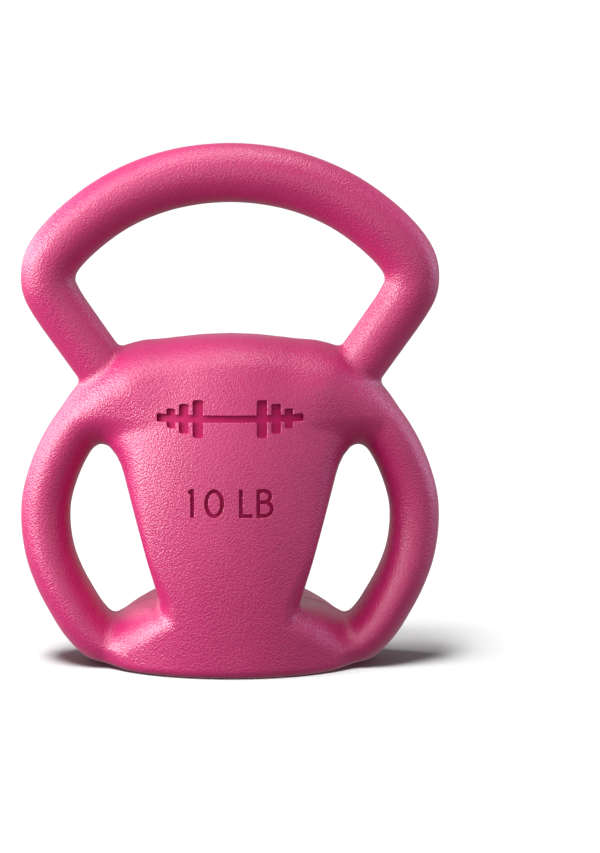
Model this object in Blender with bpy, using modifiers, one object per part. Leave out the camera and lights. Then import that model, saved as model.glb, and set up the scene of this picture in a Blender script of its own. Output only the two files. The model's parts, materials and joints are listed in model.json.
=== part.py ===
"""Three-grip kettlebell: a moulded plastic shell in two halves round one cement casting.

A big handle loops over the top and a smaller one loops down each side. Steel rods run
inside the three grips, and a plug with a gasket closes the filling hole in the base.

Metres, +Z up, front face towards -Y. The origin is on the floor under the middle of the base.
"""

import math

import bmesh
import bpy
from mathutils import Matrix, Vector

# Shell and clearances
WALL = 0.003
GAP = 0.0003
CORE_CLEARANCE = 0.0021

# Top grip: its centre line on the +X side from the crown down the leg, and its radius there
TOP_GRIP_PATH = [
    (0.0, 0.2596),
    (0.0295, 0.2562),
    (0.0560, 0.2464),
    (0.0775, 0.2318),
    (0.0925, 0.2158),
    (0.0958, 0.2028),
    (0.0917, 0.1918),
    (0.0799, 0.1744),
    (0.0600, 0.1460),
]
TOP_GRIP_RADII = [0.0157, 0.0157, 0.0155, 0.0153, 0.0152, 0.0148, 0.0141, 0.0138, 0.0138]

# Side grips: the centre line on the +X side, from inside the shoulder down to the base
SIDE_GRIP_RADIUS = 0.0133
SIDE_GRIP_WAIST_Z = 0.088
SIDE_GRIP_DEPTH_RATIO = 1.2
SIDE_GRIP_SHOULDER_RATIO = 1.45
SIDE_GRIP_FOOT_RATIO = 2.0
SIDE_GRIP_PATH = [
    (0.0523, 0.1463),
    (0.0635, 0.1405),
    (0.0784, 0.1287),
    (0.0893, 0.1115),
    (0.0963, 0.0925),
    (0.0981, 0.0770),
    (0.0962, 0.0600),
    (0.0913, 0.0455),
    (0.0846, 0.0325),
    (0.0774, 0.0212),
    (0.0686, 0.0126),
    (0.0570, 0.0090),
]

# Body: half of its outline from the front (waist, shoulder, crown), and that of its base, whose
# top beside the waist is crowned like an egg
TRUNK_OUTLINE = [
    (0.0, -0.0100),
    (0.0350, -0.0100),
    (0.0340, 0.0350),
    (0.0545, 0.1040),
    (0.0575, 0.1120),
    (0.0680, 0.1200),
    (0.0865, 0.1210),
    (0.0875, 0.1300),
    (0.0820, 0.1420),
    (0.0720, 0.1520),
    (0.0575, 0.1635),
    (0.0288, 0.1726),
    (0.0, 0.1750),
]
BASE_OUTLINE = [
    (0.0, -0.0100),
    (0.0690, -0.0100),
    (0.0760, 0.0080),
    (0.0745, 0.0175),
    (0.0600, 0.0260),
    (0.0400, 0.0330),
    (0.0, 0.0380),
]
BASE_CROWN_HALF_WIDTH = 0.0805
BASE_CROWN_DEPTH = 0.0475
BASE_CROWN_RISE = 0.0320
BASE_CROWN_Z = 0.0030
BASE_CROWN_RINGS = 16

# Belly: the front and back faces, oval in plan at the base and two flat arcs above it
BELLY_DEPTH = 0.0525
BELLY_WIDEST_Z = 0.040
BELLY_RISE = 0.147
BELLY_DROP = 0.400
BELLY_ARC_RADIUS = 0.098
BELLY_FOOT_HALF_WIDTH = 0.0735
BELLY_OVAL_TO_Z = 0.025
BELLY_ARCS_FROM_Z = 0.070
BELLY_BOTTOM_Z = -0.015
BELLY_RINGS = 28

# Filling hole: a recess keeps the plug clear of the floor
RECESS_RADIUS = 0.0270
RECESS_DEPTH = 0.0045
FILL_HOLE_RADIUS = 0.0135
GASKET_THICKNESS = 0.0012
GASKET_RADIUS = 0.0175
PLUG_FLANGE_RADIUS = 0.0185
PLUG_FLANGE_THICKNESS = 0.0022
PLUG_STEM_LENGTH = 0.0105
PLUG_SLOT_LENGTH = 0.0240
PLUG_SLOT_WIDTH = 0.0032
PLUG_SLOT_DEPTH = 0.0013

# Reinforcing rods
ROD_RADIUS = 0.004
TOP_ROD_FOOT_X = 0.0225
TOP_ROD_WAIST = (0.0290, 0.0950)
SIDE_ROD_SHOULDER_X = 0.0690
SIDE_ROD_END_X = 0.0355
TUNNEL_CLEARANCE = 0.00045

# Mesh fineness
VOXEL = 0.0027
BODY_SMOOTH_STEPS = 26
SMOOTH_STEPS = 8
INSIDE_SMOOTH_STEPS = 4
FLOOR_TRIM = 0.0004
OUTER_TRIANGLES = 5600
CAVITY_TRIANGLES = 3800
TUBE_SIDES = 24
ROD_SIDES = 8
ROUND_SIDES = 48
SHARP_ANGLE = math.radians(35)
WELD = 0.00002
FAR = 0.3

PINK = (0.72, 0.09, 0.24)
CEMENT = (0.33, 0.32, 0.30)
STEEL = (0.35, 0.34, 0.33)
BLACK = (0.02, 0.02, 0.022)


def clear_scene():
    for obj in list(bpy.data.objects):
        bpy.data.objects.remove(obj, do_unlink=True)


def new_collection(name):
    collection = bpy.data.collections.new(name)
    bpy.context.scene.collection.children.link(collection)
    return collection


def make_material(name, colour, roughness, metallic=0.0):
    material = bpy.data.materials.new(name)
    material.use_nodes = True
    shader = material.node_tree.nodes["Principled BSDF"]
    shader.inputs["Base Color"].default_value = (*colour, 1.0)
    shader.inputs["Roughness"].default_value = roughness
    shader.inputs["Metallic"].default_value = metallic
    material.diffuse_color = (*colour, 1.0)
    return material


# Building blocks


def add_object(name, mesh, collection):
    obj = bpy.data.objects.new(name, mesh)
    collection.objects.link(obj)
    return obj


def add_shape(name, shape, collection):
    mesh = bpy.data.meshes.new(name)
    shape.to_mesh(mesh)
    shape.free()
    return add_object(name, mesh, collection)


def evaluated_mesh(obj, name):
    """An object's shape after its modifiers, as new mesh data."""
    graph = bpy.context.evaluated_depsgraph_get()
    graph.update()
    mesh = bpy.data.meshes.new_from_object(obj.evaluated_get(graph))
    mesh.name = name
    return mesh


def mesh_from_curve(name, curve, placement, collection):
    """A curve's solid as a closed mesh object, with its loose caps welded on."""
    guide = bpy.data.objects.new(name + "_curve", curve)
    guide.matrix_world = placement
    collection.objects.link(guide)
    mesh = evaluated_mesh(guide, name)
    bpy.data.objects.remove(guide, do_unlink=True)
    shape = bmesh.new()
    shape.from_mesh(mesh)
    bmesh.ops.remove_doubles(shape, verts=shape.verts, dist=WELD)
    bmesh.ops.transform(shape, matrix=placement, verts=shape.verts)
    bmesh.ops.recalc_face_normals(shape, faces=shape.faces)
    shape.to_mesh(mesh)
    shape.free()
    return add_object(name, mesh, collection)


def tube(name, points, radius, collection, sides, radii=None):
    """A round bar along points in the XZ plane; radii scales it point by point."""
    curve = bpy.data.curves.new(name, "CURVE")
    curve.dimensions = "3D"
    curve.bevel_depth = radius
    curve.bevel_resolution = sides // 4 - 1
    curve.use_fill_caps = True
    spline = curve.splines.new("POLY")
    spline.points.add(len(points) - 1)
    for index, (x, z) in enumerate(points):
        spline.points[index].co = (x, 0.0, z, 1.0)
        spline.points[index].radius = radii[index] if radii else 1.0
    return mesh_from_curve(name, curve, Matrix.Identity(4), collection)


def extruded_outline(name, outline, half_depth, collection):
    """Half an outline in the XZ plane, mirrored and thickened to both sides of the plane."""
    curve = bpy.data.curves.new(name, "CURVE")
    curve.dimensions = "2D"
    curve.fill_mode = "BOTH"
    curve.extrude = half_depth
    spline = curve.splines.new("POLY")
    loop = outline + [(-x, z) for x, z in reversed(outline) if x > 0]
    spline.points.add(len(loop) - 1)
    for point, (x, z) in zip(spline.points, loop):
        point.co = (x, z, 0.0, 1.0)
    spline.use_cyclic_u = True
    return mesh_from_curve(name, curve, Matrix.Rotation(math.pi / 2, 4, "X"), collection)


def lofted(name, rings, collection):
    """A closed solid through rings of points, lowest first."""
    shape = bmesh.new()
    rows = [[shape.verts.new(point) for point in ring] for ring in rings]
    sides = len(rows[0])
    for lower, upper in zip(rows, rows[1:]):
        for side in range(sides):
            after = (side + 1) % sides
            shape.faces.new((lower[side], lower[after], upper[after], upper[side]))
    shape.faces.new(rows[0][::-1])
    shape.faces.new(rows[-1])
    return add_shape(name, shape, collection)


def box(name, low, high, collection):
    low, high = Vector(low), Vector(high)
    shape = bmesh.new()
    bmesh.ops.create_cube(shape, size=1.0)
    bmesh.ops.scale(shape, vec=high - low, verts=shape.verts)
    bmesh.ops.translate(shape, vec=(high + low) / 2, verts=shape.verts)
    return add_shape(name, shape, collection)


def cylinder(name, radius, bottom, top, collection):
    shape = bmesh.new()
    bmesh.ops.create_cone(
        shape,
        cap_ends=True,
        segments=ROUND_SIDES,
        radius1=radius,
        radius2=radius,
        depth=top - bottom,
    )
    bmesh.ops.translate(shape, vec=(0.0, 0.0, (bottom + top) / 2), verts=shape.verts)
    return add_shape(name, shape, collection)


def joined(name, objects, collection):
    """One object holding the evaluated shapes of several."""
    shape = bmesh.new()
    for obj in objects:
        shape.from_mesh(evaluated_mesh(obj, obj.name))
    return add_shape(name, shape, collection)


# Modifiers


def boolean(obj, other, operation="DIFFERENCE"):
    modifier = obj.modifiers.new(f"{operation.lower()}_{other.name}", "BOOLEAN")
    modifier.operation = operation
    modifier.object = other
    modifier.solver = "EXACT"


def remesh(obj):
    modifier = obj.modifiers.new("even_faces", "REMESH")
    modifier.mode = "VOXEL"
    modifier.voxel_size = VOXEL


def smooth(obj, steps):
    modifier = obj.modifiers.new("melt_joints", "SMOOTH")
    modifier.factor = 0.5
    modifier.iterations = steps


def shrink(obj, depth):
    """Moves every face inwards by depth."""
    modifier = obj.modifiers.new("inwards", "DISPLACE")
    modifier.direction = "NORMAL"
    modifier.mid_level = 0.0
    modifier.strength = -depth


def decimate(obj, triangles):
    modifier = obj.modifiers.new("fewer_faces", "DECIMATE")
    modifier.ratio = triangles / (2 * len(obj.data.polygons))


# Centre lines


def smooth_path(anchors, level_start=False, steps=5):
    """A Catmull-Rom curve through its anchors; level_start makes it mirror about the Z axis."""
    anchors = [Vector(anchor) for anchor in anchors]
    mirrored = Vector((-anchors[1].x, anchors[1].y))
    anchors.insert(0, mirrored if level_start else 2 * anchors[0] - anchors[1])
    anchors.append(2 * anchors[-1] - anchors[-2])
    points = []
    for before, start, end, after in zip(anchors, anchors[1:], anchors[2:], anchors[3:]):
        for step in range(steps):
            t = step / steps
            bend = 2 * before - 5 * start + 4 * end - after
            turn = 3 * start - before - 3 * end + after
            points.append((2 * start + (end - before) * t + bend * t**2 + turn * t**3) / 2)
    points.append(anchors[-2])
    return [(point.x, point.y) for point in points]


def mirrored_path(half):
    """A path foot to foot from its +X half, which starts on the Z axis."""
    return [(-x, z) for x, z in reversed(half[1:])] + half


def top_grip_radii(count):
    """The top grip's radius at count points of its +X half."""
    last = len(TOP_GRIP_RADII) - 1
    radii = []
    for index in range(count):
        place = last * index / (count - 1)
        start = min(int(place), last - 1)
        step = TOP_GRIP_RADII[start + 1] - TOP_GRIP_RADII[start]
        radii.append(TOP_GRIP_RADII[start] + (place - start) * step)
    return radii


def side_grip_ratio(height):
    """A side grip's depth over its width: least at its waist, most where it joins the base."""
    top, bottom = SIDE_GRIP_PATH[0][1], SIDE_GRIP_PATH[-1][1]
    above = height > SIDE_GRIP_WAIST_Z
    end_ratio = SIDE_GRIP_SHOULDER_RATIO if above else SIDE_GRIP_FOOT_RATIO
    reach = abs((top if above else bottom) - SIDE_GRIP_WAIST_Z)
    along = min(1.0, abs(height - SIDE_GRIP_WAIST_Z) / reach)
    return SIDE_GRIP_DEPTH_RATIO + (end_ratio - SIDE_GRIP_DEPTH_RATIO) * along**2


def eased(value, low, high):
    """0 up to low, 1 from high on, and a smooth step between them."""
    t = min(1.0, max(0.0, (value - low) / (high - low)))
    return t * t * (3 - 2 * t)


def belly_ring(height):
    """The belly's outline in plan at one height."""
    reach = BELLY_RISE if height > BELLY_WIDEST_Z else BELLY_DROP
    depth = BELLY_DEPTH * math.sqrt(1 - ((height - BELLY_WIDEST_Z) / reach) ** 2)
    centre = depth - BELLY_ARC_RADIUS
    arc_half_width = math.sqrt(BELLY_ARC_RADIUS**2 - centre**2)
    share = eased(height, BELLY_OVAL_TO_Z, BELLY_ARCS_FROM_Z)
    half_width = BELLY_FOOT_HALF_WIDTH + (arc_half_width - BELLY_FOOT_HALF_WIDTH) * share
    ring = []
    for side in range(ROUND_SIDES):
        angle = 2 * math.pi * (side + 0.5) / ROUND_SIDES
        across = math.cos(angle)
        oval = depth * abs(math.sin(angle))
        arc = centre + math.sqrt(BELLY_ARC_RADIUS**2 - (across * arc_half_width) ** 2)
        y = math.copysign(oval + (arc - oval) * share, math.sin(angle))
        ring.append((half_width * across, y, height))
    return ring


def base_crown_rings():
    """Sections across an egg that the base's top stays inside, from -X to +X."""
    rings = []
    for step in range(1, BASE_CROWN_RINGS):
        turn = math.pi * step / BASE_CROWN_RINGS
        x = -BASE_CROWN_HALF_WIDTH * math.cos(turn)
        ring = []
        for side in range(ROUND_SIDES):
            angle = 2 * math.pi * side / ROUND_SIDES
            y = BASE_CROWN_DEPTH * math.sin(turn) * math.cos(angle)
            ring.append((x, y, BASE_CROWN_Z + BASE_CROWN_RISE * math.sin(turn) * math.sin(angle)))
        rings.append(ring)
    return rings


# Forms and parts


def body_form(helpers):
    """The trunk and its base, rounded where their outline meets the belly."""
    height = TRUNK_OUTLINE[-1][1] + WALL - BELLY_BOTTOM_Z
    levels = [BELLY_BOTTOM_Z + height * level / BELLY_RINGS for level in range(BELLY_RINGS + 1)]
    belly = lofted("belly_form", [belly_ring(level) for level in levels], helpers)
    trunk = extruded_outline("trunk_form", TRUNK_OUTLINE, 2 * BELLY_DEPTH, helpers)
    base = extruded_outline("base_form", BASE_OUTLINE, 2 * BELLY_DEPTH, helpers)
    boolean(trunk, belly, "INTERSECT")
    boolean(base, belly, "INTERSECT")
    boolean(base, lofted("base_crown", base_crown_rings(), helpers), "INTERSECT")
    body = joined("body_form", [trunk, base], helpers)
    remesh(body)
    smooth(body, BODY_SMOOTH_STEPS)
    return body


def outer_form(helpers):
    """The whole outside as one smooth mesh: body and grips melted together."""
    half = smooth_path(TOP_GRIP_PATH, level_start=True)
    radii = top_grip_radii(len(half))
    radii = radii[:0:-1] + radii
    shares = [radius / radii[0] for radius in radii]
    top_grip = tube("top_grip_form", mirrored_path(half), radii[0], helpers, TUBE_SIDES, shares)
    forms = [body_form(helpers), top_grip]
    for name, side in (("left", -1), ("right", 1)):
        points = [(side * x, z) for x, z in smooth_path(SIDE_GRIP_PATH)]
        grip = tube(name + "_grip_form", points, SIDE_GRIP_RADIUS, helpers, TUBE_SIDES)
        for vertex in grip.data.vertices:
            vertex.co.y *= side_grip_ratio(vertex.co.z)
        forms.append(grip)
    whole = joined("whole_form", forms, helpers)
    remesh(whole)
    boolean(whole, floor_cutter(-FLOOR_TRIM, helpers))
    remesh(whole)
    smooth(whole, SMOOTH_STEPS)
    return evaluated_mesh(whole, "outside")


def floor_cutter(height, helpers):
    """A block that takes away everything below a height."""
    name = f"below_{height * 1000:.1f}"
    return box(name, (-FAR, -FAR, -FAR), (FAR, FAR, height), helpers)


def offset_mesh(outside, depth, triangles, helpers):
    """The outside moved inwards by depth, with fewer faces."""
    form = add_object(f"inwards_{depth * 1000:.1f}", outside, helpers)
    if depth:
        shrink(form, depth)
        remesh(form)
        smooth(form, INSIDE_SMOOTH_STEPS)
    decimate(form, triangles)
    return evaluated_mesh(form, form.name)


def with_base(obj, depth, helpers):
    """Gives a form that lies depth inside the outside its flat floor and its recess."""
    boolean(obj, floor_cutter(depth, helpers))
    ceiling = RECESS_DEPTH + depth
    boolean(obj, cylinder(obj.name + "_recess", RECESS_RADIUS + depth, -WALL, ceiling, helpers))
    return obj


def make_shells(outer, cavity, parts, helpers, material):
    """The two half shells: the outer form less the cavity and the filling hole, split at y = 0."""
    hole_top = RECESS_DEPTH + 2 * WALL
    hole = cylinder("fill_hole", FILL_HOLE_RADIUS, 0.0, hole_top, helpers)
    for name, side in (("front_shell", -1), ("back_shell", 1)):
        shell = add_object(name, evaluated_mesh(outer, name), parts)
        near, far = sorted((-side * FAR, side * GAP / 2))
        half = box("beyond_" + name, (-FAR, near, -FAR), (FAR, far, FAR), helpers)
        for cutter in (cavity, hole, half):
            boolean(shell, cutter)
        shell.data.materials.clear()
        shell.data.materials.append(material)


def rod_paths():
    """The centre line of each rod, and of the tunnel round it, which runs on out of the cement."""
    waist = Vector(TOP_ROD_WAIST)
    foot = Vector((TOP_ROD_FOOT_X, RECESS_DEPTH + WALL + CORE_CLEARANCE + GAP))
    past_foot = foot + (foot - waist).normalized() * WALL
    grip = smooth_path(TOP_GRIP_PATH, level_start=True)
    top_rod = mirrored_path(grip + [tuple(waist), tuple(foot)])
    top_tunnel = mirrored_path(grip + [tuple(waist), tuple(past_foot)])
    side = [point for point in smooth_path(SIDE_GRIP_PATH) if point[0] > SIDE_ROD_SHOULDER_X]
    level = side[-1][1]
    side_rod = side + [(SIDE_ROD_END_X, level)]
    side_tunnel = side + [(RECESS_RADIUS - WALL, level)]
    yield "top_handle_rod", top_rod, top_tunnel
    yield "right_handle_rod", side_rod, side_tunnel
    yield "left_handle_rod", *([(-x, z) for x, z in path] for path in (side_rod, side_tunnel))


def make_rods_and_core(inside, parts, helpers, steel, cement):
    core = add_object("cement_core", inside.copy(), parts)
    shrink(core, CORE_CLEARANCE)
    with_base(core, WALL + CORE_CLEARANCE, helpers)
    tunnel_radius = ROD_RADIUS + TUNNEL_CLEARANCE
    for name, rod_path, tunnel_path in rod_paths():
        rod = tube(name, rod_path, ROD_RADIUS, parts, ROD_SIDES)
        rod.data.materials.append(steel)
        tunnel = tube(name + "_tunnel", tunnel_path, tunnel_radius, helpers, ROD_SIDES)
        boolean(core, tunnel)
    pocket_top = RECESS_DEPTH + PLUG_STEM_LENGTH + GAP
    boolean(core, cylinder("plug_pocket", FILL_HOLE_RADIUS + GAP, 0.0, pocket_top, helpers))
    core.data.materials.clear()
    core.data.materials.append(cement)


def make_plug(parts, helpers, pink, black):
    """The filling plug: a slotted flange under the base with a stem up the hole, and its gasket."""
    gasket_top = RECESS_DEPTH - GAP
    gasket_bottom = gasket_top - GASKET_THICKNESS
    flange_top = gasket_bottom - GAP
    flange_bottom = flange_top - PLUG_FLANGE_THICKNESS
    stem_radius = FILL_HOLE_RADIUS - GAP
    plug = cylinder("fill_plug", PLUG_FLANGE_RADIUS, flange_bottom, flange_top, parts)
    stem = cylinder("plug_stem", stem_radius, flange_bottom + GAP, gasket_top + PLUG_STEM_LENGTH, helpers)
    boolean(plug, stem, "UNION")
    for name, length, width in (
        ("slot_x", PLUG_SLOT_LENGTH, PLUG_SLOT_WIDTH),
        ("slot_y", PLUG_SLOT_WIDTH, PLUG_SLOT_LENGTH),
    ):
        slot_top = flange_bottom + PLUG_SLOT_DEPTH
        low, high = (-length / 2, -width / 2, -WALL), (length / 2, width / 2, slot_top)
        boolean(plug, box(name, low, high, helpers))
    plug.data.materials.append(pink)
    gasket = cylinder("plug_gasket", GASKET_RADIUS, gasket_bottom, gasket_top, parts)
    gasket_hole = cylinder("gasket_hole", stem_radius + GAP, 0.0, RECESS_DEPTH, helpers)
    boolean(gasket, gasket_hole)
    gasket.data.materials.append(black)


def main():
    clear_scene()
    parts = new_collection("kettlebell")
    helpers = new_collection("kettlebell_cutters")
    pink = make_material("pink_shell_plastic", PINK, 0.42)
    plug_pink = make_material("pink_plug_plastic", PINK, 0.5)
    cement = make_material("grey_cement", CEMENT, 0.9)
    steel = make_material("rod_steel", STEEL, 0.5, 1.0)
    black = make_material("black_rubber", BLACK, 0.8)
    outside = outer_form(helpers)
    skin = offset_mesh(outside, 0.0, OUTER_TRIANGLES, helpers)
    inside = offset_mesh(outside, WALL, CAVITY_TRIANGLES, helpers)
    outer = with_base(add_object("outer_form", skin, helpers), 0.0, helpers)
    cavity = with_base(add_object("cavity_form", inside, helpers), WALL, helpers)
    make_shells(outer, cavity, parts, helpers, pink)
    make_rods_and_core(inside, parts, helpers, steel, cement)
    make_plug(parts, helpers, plug_pink, black)
    for helper in helpers.objects:
        helper.hide_render = True
        helper.display_type = "WIRE"
    for part in parts.objects:
        part.data.shade_smooth()
        part.data.set_sharp_from_angle(angle=SHARP_ANGLE)


main()
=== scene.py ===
"""Looks of the three-grip kettlebell.

The two moulded half shells are meshed finely from one rounded solid, which is described as a
distance: negative inside, zero on the surface. The filling plug and its gasket get bevelled
copies, and the cement core and the rods keep their CAD meshes under better materials.
"""

import json
import math

import bmesh
import bpy
import numpy as np
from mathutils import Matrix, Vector

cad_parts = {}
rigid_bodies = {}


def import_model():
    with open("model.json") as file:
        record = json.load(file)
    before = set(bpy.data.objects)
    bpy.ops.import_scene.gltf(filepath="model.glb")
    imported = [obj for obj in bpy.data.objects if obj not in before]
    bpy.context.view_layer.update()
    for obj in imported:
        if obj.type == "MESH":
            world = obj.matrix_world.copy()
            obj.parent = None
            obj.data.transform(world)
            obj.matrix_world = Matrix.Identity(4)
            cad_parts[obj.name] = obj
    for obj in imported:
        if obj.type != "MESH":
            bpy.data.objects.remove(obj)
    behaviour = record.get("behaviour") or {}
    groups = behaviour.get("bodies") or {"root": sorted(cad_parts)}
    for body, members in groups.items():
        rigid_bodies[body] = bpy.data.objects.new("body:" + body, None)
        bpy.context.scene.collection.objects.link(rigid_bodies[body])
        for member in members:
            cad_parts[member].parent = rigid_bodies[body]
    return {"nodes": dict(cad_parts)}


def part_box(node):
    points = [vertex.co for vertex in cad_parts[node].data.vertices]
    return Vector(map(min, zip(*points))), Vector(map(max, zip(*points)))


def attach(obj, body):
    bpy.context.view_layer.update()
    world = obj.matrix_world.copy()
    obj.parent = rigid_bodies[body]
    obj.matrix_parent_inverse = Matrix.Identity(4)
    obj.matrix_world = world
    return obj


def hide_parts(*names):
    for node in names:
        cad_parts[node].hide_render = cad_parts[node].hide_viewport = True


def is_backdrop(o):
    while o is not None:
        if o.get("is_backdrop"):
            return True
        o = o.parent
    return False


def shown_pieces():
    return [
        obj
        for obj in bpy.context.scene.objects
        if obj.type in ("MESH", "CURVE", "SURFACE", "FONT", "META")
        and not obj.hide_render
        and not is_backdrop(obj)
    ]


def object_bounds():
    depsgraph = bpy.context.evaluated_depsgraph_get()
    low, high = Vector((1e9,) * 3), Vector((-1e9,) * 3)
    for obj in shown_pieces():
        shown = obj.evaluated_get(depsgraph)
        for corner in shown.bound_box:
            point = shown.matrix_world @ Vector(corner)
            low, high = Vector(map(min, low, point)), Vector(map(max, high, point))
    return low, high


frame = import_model()
CAD_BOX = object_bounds()

# One millimetre of the full-size bell, which is 274.6 mm high
MM = (CAD_BOX[1].z - CAD_BOX[0].z) / 274.6

# Shell
WALL = 3.0 * MM
SEAM_GAP = 0.3 * MM
LIP_WIDTH = 0.9 * MM
LIP_DEPTH = 0.35 * MM
SKIN_PITCH = 1.2 * MM
LINING_PITCH = 2.4 * MM

# Top grip: centre line on the +X side, from its crown down the leg, and its radius along it,
# in millimetres
TOP_PATH = [
    (0.0, 259.6 * MM),
    (29.5 * MM, 256.2 * MM),
    (56.0 * MM, 246.4 * MM),
    (77.5 * MM, 231.8 * MM),
    (92.5 * MM, 215.8 * MM),
    (95.8 * MM, 202.8 * MM),
    (91.7 * MM, 191.8 * MM),
    (79.9 * MM, 174.4 * MM),
    (64.0 * MM, 152.0 * MM),
]
TOP_RADII = [15.5, 15.5, 15.3, 15.1, 15.0, 14.6, 13.9, 13.7, 13.7]

# Side grip: centre line on the +X side, from inside the shoulder down into the base
SIDE_RADIUS = 13.1 * MM
SIDE_WAIST_Z = 88.0 * MM
SIDE_DEPTH_RATIO = 1.2
SIDE_SHOULDER_RATIO = 1.45
SIDE_FOOT_RATIO = 2.0
SIDE_PATH = [
    (54.0 * MM, 148.0 * MM),
    (66.0 * MM, 140.5 * MM),
    (78.4 * MM, 128.7 * MM),
    (89.3 * MM, 111.5 * MM),
    (96.3 * MM, 92.5 * MM),
    (98.1 * MM, 77.0 * MM),
    (96.2 * MM, 60.0 * MM),
    (91.3 * MM, 45.5 * MM),
    (84.6 * MM, 32.5 * MM),
    (77.4 * MM, 21.2 * MM),
    (68.6 * MM, 12.6 * MM),
    (57.0 * MM, 7.0 * MM),
]

# Body: half of its outline from the front, from the foot up to the crown
TRUNK_OUTLINE = [
    (0.0, 3.0 * MM),
    (37.0 * MM, 3.0 * MM),
    (36.6 * MM, 36.5 * MM),
    (55.4 * MM, 102.3 * MM),
    (57.2 * MM, 107.4 * MM),
    (59.8 * MM, 112.0 * MM),
    (63.4 * MM, 115.8 * MM),
    (68.4 * MM, 118.2 * MM),
    (74.0 * MM, 118.6 * MM),
    (80.0 * MM, 117.5 * MM),
    (86.5 * MM, 121.0 * MM),
    (87.5 * MM, 130.0 * MM),
    (84.5 * MM, 142.0 * MM),
    (72.5 * MM, 152.0 * MM),
    (57.5 * MM, 164.0 * MM),
    (44.5 * MM, 169.4 * MM),
    (28.8 * MM, 172.8 * MM),
    (14.5 * MM, 174.2 * MM),
    (0.0, 174.7 * MM),
]
BELLY_DEPTH = 52.5 * MM
BELLY_Z = 40.0 * MM
BELLY_RISE = 148.0 * MM
BELLY_DROP = 400.0 * MM
BELLY_PLAN_RADIUS = 98.0 * MM
TRUNK_ROUNDING = 5.0 * MM
CROWN_ROUNDING = 16.0 * MM

# Base: half of its outline from the front, and the half axes of its oval plan
BASE_OUTLINE = [
    (0.0, -20.0 * MM),
    (64.0 * MM, -20.0 * MM),
    (76.0 * MM, 8.0 * MM),
    (75.5 * MM, 18.0 * MM),
    (60.0 * MM, 28.0 * MM),
    (40.0 * MM, 33.5 * MM),
    (0.0, 39.0 * MM),
]
BASE_HALF_WIDTH = 72.0 * MM
BASE_ROUNDING = 21.0 * MM
FLOOR_ROUNDING = 4.5 * MM

# How far the forms melt into each other; the side grips melt furthest at the shoulders
BASE_BLEND = 3.5 * MM
SIDE_BLEND = 7.0 * MM
SHOULDER_BLEND = 26.0 * MM
TOP_BLEND = 3.5 * MM

# Filling hole
RECESS_RADIUS = 27.0 * MM
RECESS_DEPTH = 4.5 * MM
HOLE_RADIUS = 13.5 * MM

# Marks: engraved strokes with slightly drafted walls and chamfered lips. Each layer of a cutter is
# its height over the front face and how far it reaches past the stroke's edge. What lies deeper
# than the floor's level counts as engraved and gets a darker pink, painted shade in the recesses
MARK_DEPTH = 2.0 * MM
MARK_STEP = 2.0 * MM
MARK_LAYERS = [(0.8 * MM, 1.0 * MM), (-0.2 * MM, 0.0), (-MARK_DEPTH, -0.1 * MM)]
MARK_FLOOR = -0.3 * MM
FIGURE_Z = 84.0 * MM
FIGURE_HEIGHT = 14.6 * MM
FIGURE_STROKE = 1.9 * MM
EMBLEM_Z = 134.0 * MM

# Colours and light
SHELL_DARK = (0.48, 0.010, 0.122)
SHELL_LIGHT = (0.53, 0.014, 0.138)
# Darker pink for the engraved faces: painted shade in the recesses of the marks
ENGRAVING_PAINTED_SHADE = ((0.40, 0.004, 0.085), (0.44, 0.006, 0.095))
GRAIN_CELLS_PER_METRE = 1.0 / MM
GRAIN_DEPTH = 0.185 * MM
GRAIN_WARP_CELLS_PER_METRE = 0.5 / MM
GRAIN_WARP = 0.6 * MM
FLOOR_GREY = 0.32
FLOOR_SUN = 10.2
FLOOR_SUN_LEANS = (2, 11, 20)
FLOOR_SUN_SIDE_LEAN = -10
FLOOR_SUN_SPREAD = math.radians(16)
WORLD_ABOVE = 0.42
WORLD_BELOW = 0.30
WORLD_BEHIND = 0.30

# Camera: straight in front and a little above, with a long lens
CAMERA_DISTANCE = 1360.0 * MM
CAMERA_ELEVATION = math.radians(6.5)
CAMERA_AIM_Z = 137.4 * MM
CAMERA_LENS = 108.3
CAMERA_SHIFT = (0.082, -0.0264)


# Distances


def along_path(x, z, path):
    """Distance from a point to a path in the XZ plane, and its place along the path, 0 to 1."""
    starts, ends = np.array(path[:-1]), np.array(path[1:])
    lengths = np.linalg.norm(ends - starts, axis=1)
    before = np.concatenate([[0.0], np.cumsum(lengths)])
    best = np.full(np.broadcast(x, z).shape, np.inf)
    place = np.zeros_like(best)
    for (ax, az), (bx, bz), length, done in zip(starts, ends, lengths, before):
        ux, uz = (bx - ax) / length, (bz - az) / length
        t = np.clip((x - ax) * ux + (z - az) * uz, 0.0, length)
        distance = np.hypot(x - ax - t * ux, z - az - t * uz)
        closer = distance < best
        best = np.where(closer, distance, best)
        place = np.where(closer, (done + t) / before[-1], place)
    return best, place


def to_outline(x, z, outline):
    """Signed distance to half an outline in the XZ plane that starts and ends on the Z axis."""
    distance, _ = along_path(x, z, outline)
    inside = np.zeros(distance.shape, bool)
    for (ax, az), (bx, bz) in zip(outline, outline[1:]):
        if az == bz:
            continue
        crosses = (z < az) != (z < bz)
        inside ^= crosses & (x < ax + (z - az) / (bz - az) * (bx - ax))
    return np.where(inside, -distance, distance)


def rounded_overlap(a, b, rounding):
    """What two solids share, with the edge between them rounded."""
    a, b = a + rounding, b + rounding
    corner = np.hypot(np.maximum(a, 0.0), np.maximum(b, 0.0))
    return np.minimum(np.maximum(a, b), 0.0) + corner - rounding


def melted(a, b, reach):
    """Two solids joined by a fillet."""
    overlap = np.maximum(reach - np.abs(a - b), 0.0)
    return np.minimum(a, b) - overlap**2 / (4 * reach)


def eased(value, low, high):
    """0 up to low, 1 from high on, and a smooth step between them."""
    t = np.clip((value - low) / (high - low), 0.0, 1.0)
    return t * t * (3 - 2 * t)


# Forms


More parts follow.
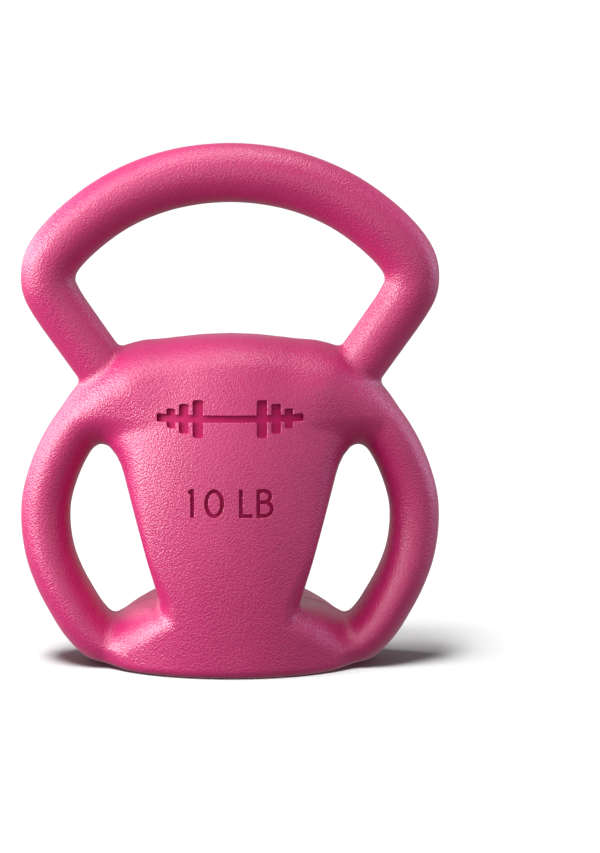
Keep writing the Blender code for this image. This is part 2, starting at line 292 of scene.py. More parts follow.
def smooth_path(anchors, level_start=False, steps=6):
    """A Catmull-Rom curve through its anchors; level_start makes it mirror about the Z axis."""
    anchors = [Vector(anchor) for anchor in anchors]
    mirrored = Vector((-anchors[1].x, anchors[1].y))
    anchors.insert(0, mirrored if level_start else 2 * anchors[0] - anchors[1])
    anchors.append(2 * anchors[-1] - anchors[-2])
    points = []
    for before, start, end, after in zip(anchors, anchors[1:], anchors[2:], anchors[3:]):
        for step in range(steps):
            t = step / steps
            bend = 2 * before - 5 * start + 4 * end - after
            turn = 3 * start - before - 3 * end + after
            points.append((2 * start + (end - before) * t + bend * t**2 + turn * t**3) / 2)
    points.append(anchors[-2])
    return [tuple(point) for point in points]


def top_grip(x, y, z):
    distance, place = along_path(x, z, TOP_CENTRE_LINE)
    anchors_at = np.linspace(0.0, 1.0, len(TOP_RADII))
    return np.hypot(distance, y) - np.interp(place, anchors_at, TOP_RADII) * MM


def side_grip(x, y, z):
    distance, _ = along_path(x, z, SIDE_CENTRE_LINE)
    upper = eased(z, SIDE_WAIST_Z, SIDE_PATH[0][1])
    lower = eased(-z, -SIDE_WAIST_Z, -SIDE_PATH[-1][1])
    ratio = SIDE_DEPTH_RATIO
    ratio = ratio + (SIDE_SHOULDER_RATIO - ratio) * upper + (SIDE_FOOT_RATIO - ratio) * lower
    return np.hypot(distance, y / ratio) - SIDE_RADIUS


def centre_depth(z):
    """How far the middle of the front face stands out from the parting plane."""
    reach = np.where(z > BELLY_Z, BELLY_RISE, BELLY_DROP)
    return BELLY_DEPTH * np.sqrt(np.maximum(1 - ((z - BELLY_Z) / reach) ** 2, 0.0))


def front_depth(x, z):
    """How far the front face stands out, away from the base."""
    across = np.sqrt(np.maximum(BELLY_PLAN_RADIUS**2 - x**2, 0.0))
    return centre_depth(z) - BELLY_PLAN_RADIUS + across


def belly(x, y, z):
    """Distance to the front and back faces, oval in plan at the base and round above it."""
    depth = np.maximum(centre_depth(z), MM)
    oval = (np.hypot(x / BASE_HALF_WIDTH, y / depth) - 1) * depth
    return oval + (y - front_depth(x, z) - oval) * eased(z, 25 * MM, 70 * MM)


def edge_rounding(x, z):
    """The rounding between the belly and the outline: sharpest on the trunk's sides."""
    crown = eased(z, 60 * MM, 150 * MM)
    base_rim = eased(x, 10 * MM, 62 * MM) * (1 - eased(z, 28 * MM, 62 * MM))
    rounding = TRUNK_ROUNDING + (CROWN_ROUNDING - TRUNK_ROUNDING) * crown
    return rounding + (BASE_ROUNDING - TRUNK_ROUNDING) * base_rim


def body(x, y, z):
    outline = melted(to_outline(x, z, TRUNK_OUTLINE), to_outline(x, z, BASE_OUTLINE), BASE_BLEND)
    return rounded_overlap(outline, belly(x, y, z), edge_rounding(x, z))


def bell(x, y, z):
    """Distance to the whole outside, which is alike left and right, front and back."""
    x, y = np.abs(x), np.abs(y)
    shoulder = eased(z, 114 * MM, 134 * MM)
    side_blend = SIDE_BLEND + (SHOULDER_BLEND - SIDE_BLEND) * shoulder
    whole = melted(body(x, y, z), side_grip(x, y, z), side_blend)
    whole = melted(whole, top_grip(x, y, z), TOP_BLEND)
    return rounded_overlap(whole, -z, FLOOR_ROUNDING)


TOP_CENTRE_LINE = smooth_path(TOP_PATH, level_start=True)
SIDE_CENTRE_LINE = smooth_path(SIDE_PATH)


# Meshes from distances


def cell_vertices(values, crossed):
    """For each crossed cell of a grid, the mean of where the surface cuts its edges, in cells."""
    total = np.zeros((*crossed.shape, 3))
    hits = np.zeros(crossed.shape)
    grid = np.indices(values.shape).astype(float)
    for axis in range(3):
        low = [slice(None)] * 3
        high = [slice(None)] * 3
        low[axis], high[axis] = slice(None, -1), slice(1, None)
        start, end = values[tuple(low)], values[tuple(high)]
        cut = (start < 0) != (end < 0)
        t = np.where(cut, start / np.where(cut, start - end, 1.0), 0.0)
        place = [grid[k][tuple(low)] + (t if k == axis else 0.0) for k in range(3)]
        others = [k for k in range(3) if k != axis]
        for first in (0, 1):
            for second in (0, 1):
                window = [slice(None)] * 3
                for k, offset in zip(others, (first, second)):
                    window[k] = slice(offset, values.shape[k] - 1 + offset)
                hit = cut[tuple(window)]
                hits += hit
                for k in range(3):
                    total[..., k] += np.where(hit, place[k][tuple(window)], 0.0)
    return total[crossed] / hits[crossed][:, None]


def surface_net(values):
    """Vertices, in cells, and outward quads of the zero level of a grid of distances."""
    inside = values < 0
    cells_x, cells_y, cells_z = (points - 1 for points in values.shape)
    corners = [
        inside[i : i + cells_x, j : j + cells_y, k : k + cells_z]
        for i in (0, 1)
        for j in (0, 1)
        for k in (0, 1)
    ]
    count = sum(corner.astype(int) for corner in corners)
    crossed = (count > 0) & (count < 8)
    index = np.full(crossed.shape, -1)
    index[crossed] = np.arange(crossed.sum())
    quads = []
    for axis in range(3):
        u, v = (axis + 1) % 3, (axis + 2) % 3
        low = [slice(None)] * 3
        high = [slice(None)] * 3
        low[axis], high[axis] = slice(None, -1), slice(1, None)
        for k in (u, v):
            low[k] = high[k] = slice(1, -1)
        start, end = inside[tuple(low)], inside[tuple(high)]
        place = np.argwhere(start != end)
        outward = start[start != end]
        around = []
        for du, dv in ((0, 0), (1, 0), (1, 1), (0, 1)):
            cell = place.copy()
            cell[:, u] += du
            cell[:, v] += dv
            around.append(index[tuple(cell.T)])
        quad = np.stack(around, axis=1)
        quads.append(np.where(outward[:, None], quad, quad[:, ::-1]))
    return cell_vertices(values, crossed), np.concatenate(quads)


def onto_surface(points, level, furthest):
    """Moves points along the slope of the distance until it equals level, at most by furthest."""
    step = 0.05 * MM
    value = bell(*points.T) - level
    ahead = np.stack([bell(*(points + shift).T) - level for shift in np.eye(3) * step], axis=1)
    slope = (ahead - value[:, None]) / step
    steepness = np.maximum(np.linalg.norm(slope, axis=1), 0.5)
    move = np.clip(value / steepness, -furthest, furthest)
    return points - slope * (move / steepness)[:, None]


def evened(points, quads):
    """Moves each point to the mean of its faces' middles, which evens out the faces."""
    middles = points[quads].mean(axis=1)
    total = np.zeros_like(points)
    for corner in range(4):
        np.add.at(total, quads[:, corner], middles)
    return total / np.bincount(quads.ravel(), minlength=len(points))[:, None]


def bell_mesh(name, pitch, level):
    """The closed surface at one level of the distance; a negative level lies inside."""
    low = np.array(CAD_BOX[0]) - 3 * pitch
    high = np.array(CAD_BOX[1]) + 3 * pitch
    axes = []
    for k in (0, 1):
        count = math.ceil(high[k] / pitch)
        axes.append((np.arange(-count, count) + 0.5) * pitch)
    axes.append(np.arange(low[2] + 0.5 * pitch, high[2], pitch))
    x, y, z = axes
    half_x, half_y = x[x > 0], y[y > 0]
    quarter = bell(half_x[:, None, None], half_y[None, :, None], z[None, None, :]) - level
    half = np.concatenate([quarter[::-1], quarter])
    cells, quads = surface_net(np.concatenate([half[:, ::-1], half], axis=1))
    points = np.array([axis[0] for axis in axes]) + cells * pitch
    for _ in range(2):
        points = onto_surface(evened(points, quads), level, pitch / 2)
    mesh = bpy.data.meshes.new(name)
    mesh.from_pydata(points.tolist(), [], quads.tolist())
    return mesh


# Modelling steps


def new_object(name, mesh, collection):
    obj = bpy.data.objects.new(name, mesh)
    collection.objects.link(obj)
    return obj


def applied(obj):
    """Bakes an object's modifiers into its mesh."""
    graph = bpy.context.evaluated_depsgraph_get()
    graph.update()
    mesh = bpy.data.meshes.new_from_object(obj.evaluated_get(graph))
    obj.modifiers.clear()
    old, obj.data = obj.data, mesh
    bpy.data.meshes.remove(old)
    mesh.name = obj.name


def boolean(obj, cutter, operation="DIFFERENCE"):
    modifier = obj.modifiers.new(cutter.name, "BOOLEAN")
    modifier.operation = operation
    modifier.object = cutter
    modifier.solver = "MANIFOLD"


def smooth_with_edges(obj):
    obj.data.shade_smooth()
    obj.data.set_sharp_from_angle(angle=math.radians(30))


def turned(name, profile, collection, sides=96):
    """A solid of revolution about the Z axis from (radius, height) pairs, foot to top."""
    shape = bmesh.new()
    rings = []
    for radius, height in profile:
        if radius == 0:
            rings.append([shape.verts.new((0.0, 0.0, height))])
            continue
        angles = [2 * math.pi * side / sides for side in range(sides)]
        rings.append(
            [shape.verts.new((radius * math.cos(a), radius * math.sin(a), height)) for a in angles]
        )
    for lower, upper in zip(rings, rings[1:]):
        for side in range(sides):
            after = (side + 1) % sides
            if len(lower) == 1:
                shape.faces.new((lower[0], upper[after], upper[side]))
            elif len(upper) == 1:
                shape.faces.new((lower[side], lower[after], upper[0]))
            else:
                shape.faces.new((lower[side], lower[after], upper[after], upper[side]))
    mesh = bpy.data.meshes.new(name)
    shape.to_mesh(mesh)
    shape.free()
    return new_object(name, mesh, collection)


def block(name, low, high, collection):
    shape = bmesh.new()
    bmesh.ops.create_cube(shape, size=1.0)
    bmesh.ops.scale(shape, vec=Vector(high) - Vector(low), verts=shape.verts)
    bmesh.ops.translate(shape, vec=(Vector(high) + Vector(low)) / 2, verts=shape.verts)
    mesh = bpy.data.meshes.new(name)
    shape.to_mesh(mesh)
    shape.free()
    return new_object(name, mesh, collection)


# Marks


def spaced(points, closed):
    """A path's points with more between them, so that it can bend with the face."""
    ends = points[1:] + points[:1] if closed else points[1:]
    spaced_points = []
    for start, end in zip(points, ends):
        pieces = max(1, math.ceil((end - start).length / MARK_STEP))
        spaced_points += [start.lerp(end, piece / pieces) for piece in range(pieces)]
    return spaced_points if closed else spaced_points + [points[-1]]


def sides_of(points, closed):
    """For each point of a path, the mitred step from its middle to its left-hand edge."""
    steps = []
    count = len(points)
    for index, point in enumerate(points):
        before = points[index - 1] if closed or index else None
        after = points[(index + 1) % count] if closed or index < count - 1 else None
        arriving = (point - before).normalized() if before else (after - point).normalized()
        leaving = (after - point).normalized() if after else arriving
        middle = (arriving + leaving).normalized()
        steps.append(Vector((-middle.y, middle.x)) / max(middle.dot(arriving), 0.5))
    return steps


def stroke(name, points, width, height_z, collection, closed=False):
    """A cutter for one engraved stroke, laid along the curve of the front face.

    The points are (x, height above height_z); width is one number, or one for each point.
    """
    points = [Vector(point) for point in points]
    if not isinstance(width, list):
        points = spaced(points, closed)
        width = [width] * len(points)
    shape = bmesh.new()
    layers = []
    for lift, spread in MARK_LAYERS:
        layer = []
        for point, side, across in zip(points, sides_of(points, closed), width):
            for sign in (1, -1):
                x, z = point + sign * side * (across / 2 + spread)
                z += height_z
                y = -float(front_depth(np.array(x), np.array(z))) - lift
                layer.append(shape.verts.new((x, y, z)))
        layers.append(layer)
    count = len(points)
    pairs = [(k, (k + 1) % count) for k in range(count if closed else count - 1)]
    for a, b in pairs:
        for layer in (layers[0], layers[-1]):
            shape.faces.new((layer[2 * a], layer[2 * a + 1], layer[2 * b + 1], layer[2 * b]))
    for upper, lower in zip(layers, layers[1:]):
        for a, b in pairs:
            for k in (0, 1):
                corners = (2 * a + k, 2 * b + k)
                shape.faces.new((*(upper[c] for c in corners), *(lower[c] for c in corners[::-1])))
        if not closed:
            for end in (0, count - 1):
                corners = (2 * end, 2 * end + 1)
                shape.faces.new((*(upper[c] for c in corners), *(lower[c] for c in corners[::-1])))
    bmesh.ops.recalc_face_normals(shape, faces=shape.faces)
    mesh = bpy.data.meshes.new(name)
    shape.to_mesh(mesh)
    shape.free()
    return new_object(name, mesh, collection)


def arc(centre, radii, start, end, steps=12):
    """Points of an elliptical arc, its angles in quarter turns from the +X direction."""
    points = []
    for step in range(steps + 1):
        angle = math.radians(90 * (start + (end - start) * step / steps))
        x = centre[0] + radii[0] * math.cos(angle)
        points.append((x, centre[1] + radii[1] * math.sin(angle)))
    return points


def weight_figure(collection):
    """Cutters for the weight, 10 LB, in plain thin strokes."""
    half = FIGURE_STROKE / 2
    top = FIGURE_HEIGHT
    low, high, waist = half, top - half, 0.54 * top
    left = -21.5 * MM
    one_x = left + 2.1 * MM
    zero_x = left + 13.4 * MM
    ell_x = left + 27.1 * MM
    bee_x = left + 36.1 * MM
    upper, lower = (high - waist) / 2, (waist - low) / 2
    paths = {
        "one_stem": [(one_x, 0.0), (one_x, top)],
        "one_flag": [(one_x - 2.0 * MM, top - 2.0 * MM), (one_x, top - half)],
        "ell": [(ell_x, top), (ell_x, low), (ell_x + 5.8 * MM, low)],
        "bee_stem": [(bee_x, 0.0), (bee_x, top)],
        "bee_top": [(bee_x, high)]
        + arc((bee_x + 3.2 * MM, waist + upper), (upper, upper), 1, -1)
        + [(bee_x, waist)],
        "bee_foot": [(bee_x, waist)]
        + arc((bee_x + 3.4 * MM, low + lower), (lower, lower), 1, -1)
        + [(bee_x, low)],
    }
    cutters = [
        stroke(name, path, FIGURE_STROKE, FIGURE_Z, collection) for name, path in paths.items()
    ]
    ring = arc((zero_x, top / 2), (4.1 * MM, top / 2 - half), 0, 4, steps=48)[:-1]
    cutters.append(stroke("zero", ring, FIGURE_STROKE, FIGURE_Z, collection, closed=True))
    return cutters


def rounded_bar(name, start, end, width, rounding, collection):
    """A cutter for a straight bar with rounded corners."""
    start, end = Vector(start), Vector(end)
    along = (end - start).normalized()
    quarter = [math.radians(22.5 * step) for step in range(5)]
    from_end = [rounding * (1 - math.sin(angle)) for angle in quarter]
    trimmed = [width - 2 * rounding * (1 - math.cos(angle)) for angle in quarter]
    middle = spaced([start + along * rounding, end - along * rounding], False)[1:-1]
    points = [start + along * reach for reach in from_end[::-1]]
    points += middle
    points += [end - along * reach for reach in from_end]
    widths = trimmed[::-1] + [width] * len(middle) + trimmed
    return stroke(name, points, widths, EMBLEM_Z, collection)


def barbell_emblem(collection):
    """Cutters for a plain barbell pictogram."""
    bar = 38.0 * MM
    cutters = [
        rounded_bar("bar", (-bar, 0.0), (bar, 0.0), 3.6 * MM, 1.0 * MM, collection),
    ]
    for place, height, width in (
        (16.5 * MM, 19.0 * MM, 5.4 * MM),
        (23.8 * MM, 15.0 * MM, 5.0 * MM),
        (30.4 * MM, 10.0 * MM, 4.4 * MM),
    ):
        for side in (-1, 1):
            x = side * place
            name = f"plate_{side}_{height / MM:.0f}"
            foot, head = (x, -height / 2), (x, height / 2)
            cutters.append(rounded_bar(name, foot, head, width, 1.2 * MM, collection))
    return cutters


# Shells


def recess_cutter(name, grow, collection):
    radius, top = RECESS_RADIUS + grow, RECESS_DEPTH + grow
    lip, corner = 0.8 * MM, 0.6 * MM
    profile = [
        (0.0, -WALL),
        (radius + lip + WALL, -WALL),
        (radius, lip),
        (radius, top - corner),
        (radius - corner, top),
        (0.0, top),
    ]
    return turned(name, profile, collection)


def with_lips(mesh):
    """Cuts rows of points beside the parting line and sinks them, which rounds its two lips."""
    shape = bmesh.new()
    shape.from_mesh(mesh)
    for share in (1.0, 0.6, 0.3, 0.0):
        for side in (-1, 1) if share else (0,):
            place = Vector((0.0, side * (SEAM_GAP / 2 + share * LIP_WIDTH), 0.0))
            geometry = [*shape.verts, *shape.edges, *shape.faces]
            bmesh.ops.bisect_plane(
                shape, geom=geometry, plane_co=place, plane_no=(0, 1, 0), dist=1e-7
            )
    shape.normal_update()
    for vertex in shape.verts:
        past = (abs(vertex.co.y) - SEAM_GAP / 2) / LIP_WIDTH
        if past < 1:
            sink = LIP_DEPTH * (1 - max(past, 0.0)) ** 2
            outward = Vector((vertex.normal.x, 0.0, vertex.normal.z)).normalized()
            vertex.co -= outward * sink
    shape.to_mesh(mesh)
    shape.free()


def paint_shade_on_engraved_faces(mesh):
    """Gives the sunken faces of the marks the second material: darker pink, painted shade."""
    middles = np.empty(3 * len(mesh.polygons))
    mesh.polygons.foreach_get("center", middles)
    x, y, z = middles.reshape(-1, 3).T
    near_marks = (np.abs(x) < 42 * MM) & (z > FIGURE_Z - 4 * MM) & (z < EMBLEM_Z + 14 * MM)
    depth = np.where(near_marks & (y < 0), -y - front_depth(x, z), 0.0)
    sunken = (depth < MARK_FLOOR) & (depth > MARK_FLOOR - MARK_DEPTH)
    mesh.polygons.foreach_set("material_index", sunken.astype(np.int32))


def make_shells(collection, helpers):
    """The two half shells that stand for the CAD ones, the front one with the marks."""
    skin = bell_mesh("skin", SKIN_PITCH, 0.0)
    with_lips(skin)
    lining = new_object("lining", bell_mesh("lining", LINING_PITCH, -WALL), helpers)
    boolean(lining, recess_cutter("lining_recess", WALL, helpers))
    applied(lining)
    recess = recess_cutter("recess", 0.0, helpers)
    hole_profile = [(0.0, 0.0), (HOLE_RADIUS, 0.0), (HOLE_RADIUS, 4 * WALL), (0.0, 4 * WALL)]
    hole = turned("filling_hole", hole_profile, helpers)
    reach = CAD_BOX[1].z
    shells = []
    for name, side in (("front_half_shell", -1), ("back_half_shell", 1)):
        shell = new_object(name, skin.copy(), collection)
        edge = side * SEAM_GAP / 2
        low_y, high_y = (edge, reach) if side < 0 else (-reach, edge)
        low, high = (-reach, low_y, -reach), (reach, high_y, 2 * reach)
        beyond = block("beyond_" + name, low, high, helpers)
        for cutter in (beyond, lining, recess, hole):
            boolean(shell, cutter)
        shells.append(shell)
    for cutter in weight_figure(helpers) + barbell_emblem(helpers):
        boolean(shells[0], cutter)
    for shell in shells:
        applied(shell)
        smooth_with_edges(shell)
    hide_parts("front_shell")
    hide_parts("back_shell")
    return shells


# Plug and gasket


def make_plug(collection, helpers):
    """The filling plug with bevelled edges, a grip ring and a cross slot for a wide blade."""
    low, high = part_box("fill_plug")
    radius = (high.x - low.x) / 2
    gasket_low, gasket_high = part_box("plug_gasket")
    flange_top = gasket_low.z - SEAM_GAP
    stem = HOLE_RADIUS - SEAM_GAP
    edge = 0.4 * MM
    profile = [
        (0.0, low.z + 0.2 * MM),
        (0.66 * radius, low.z + 0.2 * MM),
        (0.70 * radius, low.z + 0.5 * MM),
        (0.76 * radius, low.z + 0.5 * MM),
        (0.80 * radius, low.z),
        (radius - edge, low.z),
        (radius, low.z + edge),
        (radius, flange_top - edge),
        (radius - edge, flange_top),
        (stem, flange_top),
        (stem, high.z - 2 * edge),
        (stem - 2 * edge, high.z),
        (0.0, high.z),
    ]
    plug = turned("filling_plug", profile, collection)
    half, width, depth = 12.0 * MM, 1.6 * MM, 1.3 * MM
    for name, reach_x, reach_y in (("slot_x", half, width), ("slot_y", width, half)):
        corner = (reach_x, reach_y, low.z + depth)
        boolean(plug, block(name, (-reach_x, -reach_y, -depth), corner, helpers))
    applied(plug)
    smooth_with_edges(plug)
    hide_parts("fill_plug")
    return plug


def make_gasket(collection):
    """The flat rubber ring between the plug's flange and the recess, round at its rim."""
    low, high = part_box("plug_gasket")
    outer = (high.x - low.x) / 2
    inner = HOLE_RADIUS
    middle, half = (low.z + high.z) / 2, (high.z - low.z) / 2
    section = [(inner, low.z), (outer - half, low.z)]
    for step in range(1, 8):
        angle = math.radians(-90 + 22.5 * step)
        section.append((outer - half + half * math.cos(angle), middle + half * math.sin(angle)))
    section += [(outer - half, high.z), (inner, high.z), (inner, low.z)]
    gasket = turned("gasket_ring", section, collection)
    shape = bmesh.new()
    shape.from_mesh(gasket.data)
    bmesh.ops.remove_doubles(shape, verts=shape.verts, dist=1e-7)
    shape.to_mesh(gasket.data)
    shape.free()
    smooth_with_edges(gasket)
    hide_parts("plug_gasket")
    return gasket


# Materials


class Nodes:
    """A material's node tree, with short ways to add and link nodes."""

    def __init__(self, name):
        self.material = bpy.data.materials.new(name)
        self.material.use_nodes = True
        self.tree = self.material.node_tree
        self.shader = self.tree.nodes["Principled BSDF"]
        self.place = self.add("ShaderNodeTexCoord").outputs["Object"]

    def add(self, kind, inputs=None, **settings):
        node = self.tree.nodes.new(kind)
        for key, value in settings.items():
            setattr(node, key, value)
        for key, value in (inputs or {}).items():
            self.put(node, key, value)
        return node

    def put(self, node, key, value):
        if isinstance(value, bpy.types.NodeSocket):
            self.tree.links.new(value, node.inputs[key])
        else:
            node.inputs[key].default_value = value

    def noise(self, scale, detail=2.0, roughness=0.5):
        inputs = {"Vector": self.place, "Scale": scale, "Detail": detail, "Roughness": roughness}
        return self.add("ShaderNodeTexNoise", inputs).outputs["Fac"]

    def ramp(self, value, low, high, start=0.0, end=1.0):
        """Maps value from start..end to low..high."""
        inputs = {"Value": value, "From Min": start, "From Max": end, "To Min": low, "To Max": high}
        return self.add("ShaderNodeMapRange", inputs).outputs["Result"]

    def sums(self, kind, *values):
        node = self.add("ShaderNodeMath", operation=kind)
        for index, value in enumerate(values):
            self.put(node, index, value)
        return node.outputs["Value"]

    def colours(self, value, first, second):
        node = self.add("ShaderNodeMix", data_type="RGBA")
        self.put(node, 0, value)
        self.put(node, 6, (*first, 1.0))
        self.put(node, 7, (*second, 1.0))
        return node.outputs[2]

    def bump(self, height, distance, strength=1.0):
        inputs = {"Height": height, "Distance": distance, "Strength": strength}
        return self.add("ShaderNodeBump", inputs).outputs["Normal"]

    def finish(self, **values):
        names = {"base": "Base Color", "specular": "Specular IOR Level", "normal": "Normal"}
        for key, value in values.items():
            name = names.get(key) or key.replace("_", " ").title()
            self.put(self.shader, name, value)
        return self.material


def pink_plastic(name, dark, light, grain_depth, shine=0.9, roughness=(0.34, 0.42)):
    """Moulded plastic with a fine leather grain, a little uneven in colour and gloss."""
    nodes = Nodes(name)
    warp = nodes.add(
        "ShaderNodeTexNoise",
        {"Vector": nodes.place, "Scale": GRAIN_WARP_CELLS_PER_METRE, "Detail": 1.0},
    )
    shift = nodes.add("ShaderNodeVectorMath", operation="MULTIPLY_ADD")
    nodes.put(shift, 0, warp.outputs["Color"])
    nodes.put(shift, 1, (GRAIN_WARP,) * 3)
    nodes.put(shift, 2, nodes.place)
    cells = nodes.add(
        "ShaderNodeTexVoronoi",
        {"Vector": shift.outputs[0], "Scale": GRAIN_CELLS_PER_METRE, "Smoothness": 0.6},
        feature="SMOOTH_F1",
    )
    pebbles = nodes.ramp(cells.outputs["Distance"], 1.0, 0.0, 0.0, 0.7)
    fine = nodes.noise(2.4 * GRAIN_CELLS_PER_METRE, 2.0)
    height = nodes.sums("ADD", pebbles, nodes.sums("MULTIPLY", fine, 0.35))
    normal = nodes.bump(height, grain_depth)
    mottle = nodes.noise(28.0, 4.0, 0.6)
    colour = nodes.colours(nodes.ramp(mottle, 0.0, 1.0, 0.3, 0.7), dark, light)
    gloss = nodes.ramp(nodes.noise(60.0, 3.0), *roughness, 0.3, 0.7)
    return nodes.finish(base=colour, roughness=gloss, normal=normal, specular=shine)


def cement():
    """Grey cast cement: sandy, speckled with iron grit, with small pits."""
    nodes = Nodes("cast_cement")
    speckle = nodes.add("ShaderNodeTexVoronoi", {"Vector": nodes.place, "Scale": 700.0})
    tone = nodes.sums("MULTIPLY", nodes.noise(90.0, 6.0, 0.65), 0.7)
    tone = nodes.sums("ADD", tone, nodes.sums("MULTIPLY", speckle.outputs["Distance"], 0.5))
    share = nodes.ramp(tone, 0.0, 1.0, 0.2, 0.9)
    colour = nodes.colours(share, (0.20, 0.19, 0.18), (0.52, 0.50, 0.46))
    pits = nodes.ramp(nodes.noise(260.0, 3.0, 0.7), 0.0, 1.0, 0.25, 0.5)
    normal = nodes.bump(nodes.sums("ADD", pits, nodes.noise(900.0, 2.0)), 0.0006)
    return nodes.finish(base=colour, roughness=nodes.ramp(tone, 0.8, 0.97), normal=normal)


def rod_steel():
    """Drawn steel rod: grey, with light brown rust bloom and fine drawing marks."""
    nodes = Nodes("drawn_steel")
    bloom = nodes.ramp(nodes.noise(70.0, 5.0, 0.65), 0.0, 1.0, 0.5, 0.72)
    colour = nodes.colours(bloom, (0.42, 0.41, 0.40), (0.23, 0.13, 0.08))
    normal = nodes.bump(nodes.noise(1500.0, 2.0), 0.00008)
    rough = nodes.ramp(bloom, 0.34, 0.85)
    metal = nodes.ramp(bloom, 1.0, 0.2)
    return nodes.finish(base=colour, roughness=rough, metallic=metal, normal=normal)


def rubber():
    """Black moulded rubber with a dusty bloom."""
    nodes = Nodes("black_rubber")
    dust = nodes.ramp(nodes.noise(240.0, 4.0, 0.6), 0.0, 1.0, 0.35, 0.75)
    colour = nodes.colours(dust, (0.018, 0.018, 0.020), (0.055, 0.053, 0.052))
    normal = nodes.bump(nodes.noise(1800.0, 2.0), 0.00006)
    return nodes.finish(base=colour, roughness=nodes.ramp(dust, 0.62, 0.85), normal=normal)


def wear(obj, *materials):
    """Gives an object these materials in place of its own."""
    obj.data.materials.clear()
    for material in materials:
        obj.data.materials.append(material)


# Stage, light and camera


def make_stage():
    floor_mesh = bpy.data.meshes.new("floor")
    half = 12.0
    corners = [(-half, -half, 0.0), (half, -half, 0.0), (half, half, 0.0), (-half, half, 0.0)]
    floor_mesh.from_pydata(corners, [], [(0, 1, 2, 3)])
    floor = new_object("floor", floor_mesh, bpy.context.scene.collection)
    nodes = Nodes("pale_floor")
    grey = (FLOOR_GREY, FLOOR_GREY, FLOOR_GREY, 1.0)
    wear(floor, nodes.finish(base=grey, roughness=0.9, specular=0.1))
    floor.visible_diffuse = False
    floor.visible_glossy = False
    floor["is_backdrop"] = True
    return floor


def area_light(name, place, aim, size, power, colour=(1.0, 1.0, 1.0)):
    light = bpy.data.lights.new(name, "AREA")
    light.shape = "RECTANGLE"
    light.size, light.size_y = size
    light.energy = power
    light.color = colour
    lamp = bpy.data.objects.new(name, light)
    lamp.location = place
    direction = Vector(aim) - Vector(place)
    lamp.rotation_mode = "QUATERNION"
    lamp.rotation_quaternion = direction.to_track_quat("-Z", "Y")
    bpy.context.scene.collection.objects.link(lamp)
    return lamp


def make_lights(floor):
    middle = (0.0, 0.0, 0.5 * (CAD_BOX[0].z + CAD_BOX[1].z))
    studio = [
        area_light("key", (-1.35, -0.55, 0.55), middle, (0.8, 0.8), 20.5),
        area_light("high_key", (-0.9, -0.7, 1.5), middle, (0.8, 0.8), 11.0),
        area_light("side", (-1.5, 0.1, 0.6), middle, (0.8, 0.8), 13.5),
        area_light("edge", (-1.2, 1.0, 0.6), middle, (0.8, 0.8), 8.0),
        area_light("fill", (-0.5, -1.9, 0.6), middle, (1.2, 1.2), 6.5),
        area_light("top", (0.0, -0.1, 1.7), middle, (1.0, 1.0), 12.5),
        area_light("right_fill", (1.1, -1.5, 0.6), middle, (1.2, 1.2), 3.4),
        area_light("rim", (1.3, 0.4, 0.5), middle, (0.6, 1.0), 6.0, (0.75, 0.7, 1.0)),
    ]
    lit = bpy.data.collections.new("lit_by_overheads")
    lit.objects.link(floor)
    for index, lean in enumerate(FLOOR_SUN_LEANS):
        sun = bpy.data.lights.new(f"overhead_{index}", "SUN")
        sun.energy = FLOOR_SUN / len(FLOOR_SUN_LEANS)
        sun.angle = FLOOR_SUN_SPREAD
        overhead = bpy.data.objects.new(sun.name, sun)
        overhead.rotation_euler = (math.radians(lean), math.radians(FLOOR_SUN_SIDE_LEAN), 0.0)
        bpy.context.scene.collection.objects.link(overhead)
        overhead.light_linking.receiver_collection = lit
    shown = bpy.data.collections.new("lit_by_studio")
    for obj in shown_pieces():
        shown.objects.link(obj)
    for lamp in studio:
        lamp.light_linking.receiver_collection = shown


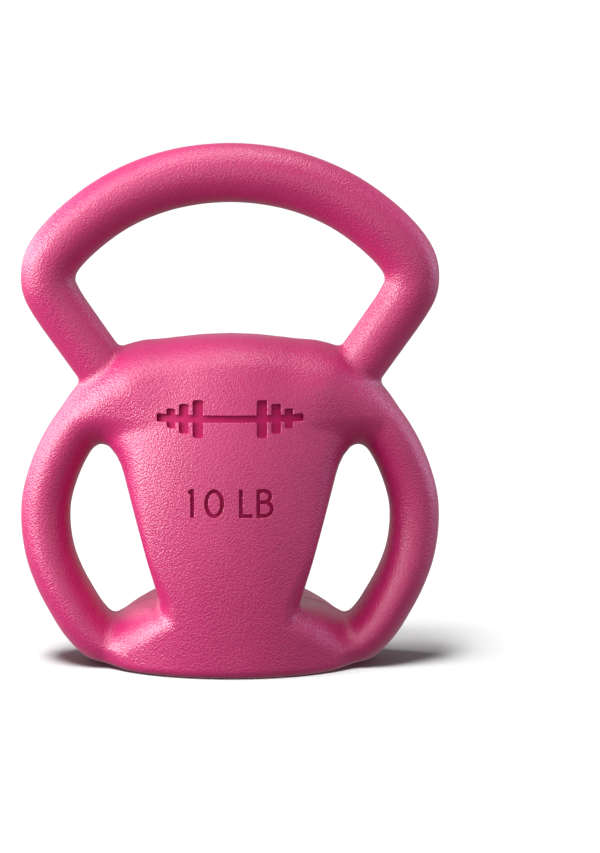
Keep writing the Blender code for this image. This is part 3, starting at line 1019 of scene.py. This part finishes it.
def make_world():
    """A white backdrop for the camera; it casts a dim light on the object from above and behind."""
    world = bpy.data.worlds.new("backdrop")
    bpy.context.scene.world = world
    world.use_nodes = True
    tree = world.node_tree
    tree.nodes.clear()
    output = tree.nodes.new("ShaderNodeOutputWorld")
    seen = tree.nodes.new("ShaderNodeBackground")
    seen.inputs["Color"].default_value = (1.0, 1.0, 1.0, 1.0)
    cast = tree.nodes.new("ShaderNodeBackground")
    direction = tree.nodes.new("ShaderNodeTexCoord")
    axes = tree.nodes.new("ShaderNodeSeparateXYZ")
    total = tree.nodes.new("ShaderNodeMath")
    path = tree.nodes.new("ShaderNodeLightPath")
    choice = tree.nodes.new("ShaderNodeMixShader")
    links = tree.links
    links.new(direction.outputs["Generated"], axes.inputs[0])
    for index, (axis, low, high, start, end) in enumerate(
        (("Z", WORLD_BELOW, WORLD_ABOVE, -0.25, 0.25), ("Y", 0.0, WORLD_BEHIND, 0.4, 1.0))
    ):
        ramp = tree.nodes.new("ShaderNodeMapRange")
        ramp.inputs["From Min"].default_value = start
        ramp.inputs["From Max"].default_value = end
        ramp.inputs["To Min"].default_value = low
        ramp.inputs["To Max"].default_value = high
        links.new(axes.outputs[axis], ramp.inputs["Value"])
        links.new(ramp.outputs["Result"], total.inputs[index])
    links.new(total.outputs["Value"], cast.inputs["Strength"])
    links.new(path.outputs["Is Camera Ray"], choice.inputs["Fac"])
    links.new(cast.outputs["Background"], choice.inputs[1])
    links.new(seen.outputs["Background"], choice.inputs[2])
    links.new(choice.outputs["Shader"], output.inputs["Surface"])


def make_camera():
    data = bpy.data.cameras.new("camera")
    data.lens = CAMERA_LENS
    data.sensor_width = 36.0
    data.shift_x, data.shift_y = CAMERA_SHIFT
    camera = bpy.data.objects.new("camera", data)
    aim = Vector((0.0, 0.0, CAMERA_AIM_Z))
    back = Vector((0.0, -math.cos(CAMERA_ELEVATION), math.sin(CAMERA_ELEVATION)))
    camera.location = aim + back * CAMERA_DISTANCE
    camera.rotation_mode = "QUATERNION"
    camera.rotation_quaternion = (-back).to_track_quat("-Z", "Y")
    bpy.context.scene.collection.objects.link(camera)
    bpy.context.scene.camera = camera


def main():
    collection = bpy.data.collections.new("kettlebell")
    helpers = bpy.data.collections.new("cutters")
    for made in (collection, helpers):
        bpy.context.scene.collection.children.link(made)
    front, back = make_shells(collection, helpers)
    plug = make_plug(collection, helpers)
    gasket = make_gasket(collection)
    shell_pink = pink_plastic("pink_shell_plastic", SHELL_DARK, SHELL_LIGHT, GRAIN_DEPTH)
    # The engraved faces wear a darker pink: painted shade in the recesses of the marks
    engraving_shade_pink = pink_plastic("pink_engraving_painted_shade", *ENGRAVING_PAINTED_SHADE, GRAIN_DEPTH / 4, 0.2, (0.55, 0.65))
    wear(front, shell_pink, engraving_shade_pink)
    paint_shade_on_engraved_faces(front.data)
    wear(back, shell_pink)
    wear(plug, pink_plastic("pink_plug_plastic", SHELL_DARK, SHELL_DARK, GRAIN_DEPTH / 2))
    wear(gasket, rubber())
    wear(frame["nodes"]["cement_core"], cement())
    steel = rod_steel()
    for name in ("top_handle_rod", "left_handle_rod", "right_handle_rod"):
        wear(frame["nodes"][name], steel)
    for piece in (front, back, plug, gasket):
        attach(piece, "root")
    for helper in list(helpers.objects):
        bpy.data.objects.remove(helper, do_unlink=True)
    bpy.data.collections.remove(helpers)
    make_lights(make_stage())
    make_world()
    make_camera()
    bpy.context.scene.view_settings.view_transform = "Standard"


main()
